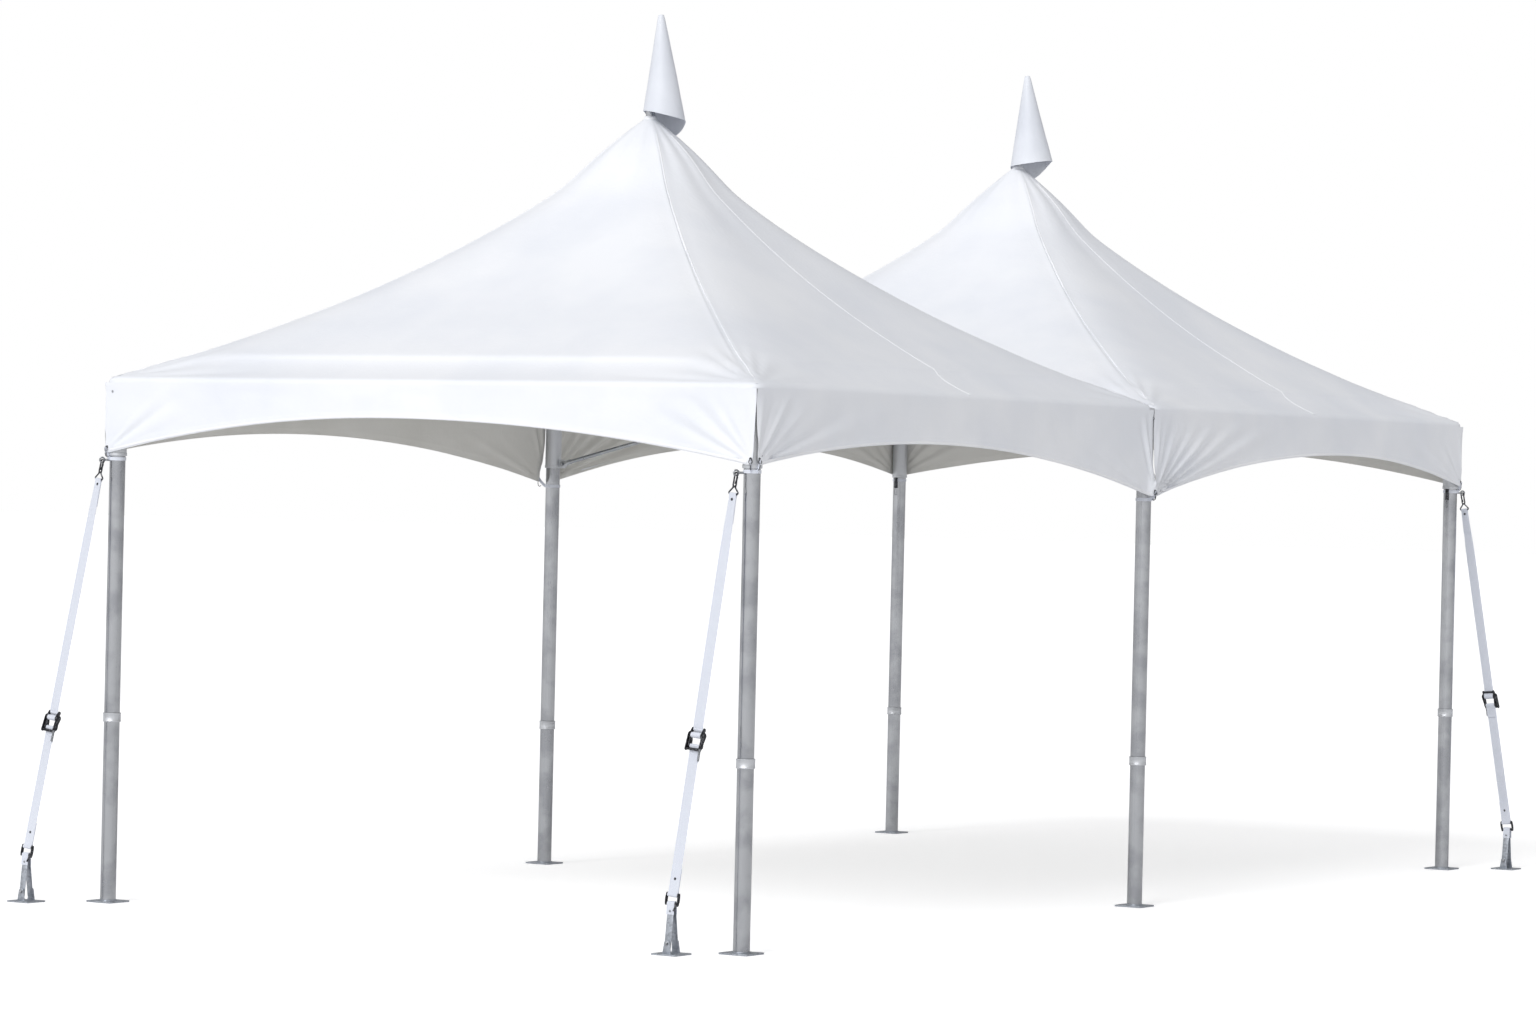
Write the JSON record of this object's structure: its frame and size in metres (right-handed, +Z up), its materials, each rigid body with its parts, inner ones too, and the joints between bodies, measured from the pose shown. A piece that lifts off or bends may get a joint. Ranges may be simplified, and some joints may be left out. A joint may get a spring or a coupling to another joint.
{
  "type": "two-bay high-peak frame marquee tent",
  "caption": "Open-sided frame marquee with a high peak over each of two square bays, arched valances, slim round legs and ratchet straps to ground anchors.",
  "frame": {"origin": "on the ground at the middle of the leg grid", "axes": "+Z up, +Y from the front end along the two bays, +X to the right side seen from the front"},
  "size_m": [3.602, 6.69, 3.672],
  "materials": {
    "canopy_vinyl": "coated canopy cloth, smooth and slightly glossy",
    "valance_vinyl": "coated canopy cloth, hanging in soft folds",
    "cap_vinyl": "rolled coated cloth",
    "polyester_webbing": "tight woven strap",
    "dark_plated_steel": "dark worn plating",
    "galvanised_steel": "dull zinc",
    "satin_aluminium": "satin",
    "frame_aluminium": "mill finish"
  },
  "bodies": {
    "frame": {"canopy_back": "canopy_vinyl", "canopy_front": "canopy_vinyl", "eave_rail_back": "frame_aluminium", "eave_rail_back_left": "frame_aluminium", "eave_rail_back_right": "frame_aluminium", "eave_rail_front": "frame_aluminium", "eave_rail_front_left": "frame_aluminium", "eave_rail_front_right": "frame_aluminium", "ground_anchor_back_right": "galvanised_steel", "ground_anchor_front_left": "galvanised_steel", "ground_anchor_front_right": "galvanised_steel", "leg_lower_back_left": "satin_aluminium", "leg_lower_back_right": "satin_aluminium", "leg_lower_front_left": "satin_aluminium", "leg_lower_front_right": "satin_aluminium", "leg_lower_middle_left": "satin_aluminium", "leg_lower_middle_right": "satin_aluminium", "leg_upper_back_left": "satin_aluminium", "leg_upper_back_right": "satin_aluminium", "leg_upper_front_left": "satin_aluminium", "leg_upper_front_right": "satin_aluminium", "leg_upper_middle_left": "satin_aluminium", "leg_upper_middle_right": "satin_aluminium", "mast_back": "satin_aluminium", "mast_front": "satin_aluminium", "peak_cap_back": "cap_vinyl", "peak_cap_front": "cap_vinyl", "ratchet_frame_back_right": "dark_plated_steel", "ratchet_frame_front_left": "dark_plated_steel", "ratchet_frame_front_right": "dark_plated_steel", "strap_lower_back_right": "polyester_webbing", "strap_lower_front_left": "polyester_webbing", "strap_lower_front_right": "polyester_webbing", "strap_upper_back_right": "polyester_webbing", "strap_upper_front_left": "polyester_webbing", "strap_upper_front_right": "polyester_webbing", "strut_cross_back": "frame_aluminium", "strut_cross_front": "frame_aluminium", "valance_back": "valance_vinyl", "valance_front": "valance_vinyl", "valance_left": "valance_vinyl", "valance_right": "valance_vinyl", "valley_brace_left": "frame_aluminium", "valley_brace_right": "frame_aluminium", "valley_rail": "frame_aluminium"},
    "handle_front_left": {"ratchet_handle_front_left": "dark_plated_steel"},
    "handle_front_right": {"ratchet_handle_front_right": "dark_plated_steel"},
    "handle_back_right": {"ratchet_handle_back_right": "dark_plated_steel"}
  },
  "joints": [
    {"name": "ratchet_hinge_front_left", "type": "hinge", "parent": "frame", "child": "handle_front_left", "pos_m": [-1.68452, -3.22298, 0.741], "axis": [-0.9806, 0.1736, 0.0908], "range_deg": [0, 140]},
    {"name": "ratchet_hinge_front_right", "type": "hinge", "parent": "frame", "child": "handle_front_right", "pos_m": [1.40239, -3.19422, 0.81], "axis": [-0.9834, 0.1687, 0.0663], "range_deg": [0, 140]},
    {"name": "ratchet_hinge_back_right", "type": "hinge", "parent": "frame", "child": "handle_back_right", "pos_m": [1.67546, 3.2131, 0.82], "axis": [0.9806, -0.1736, 0.0908], "range_deg": [0, 140]}
  ]
}
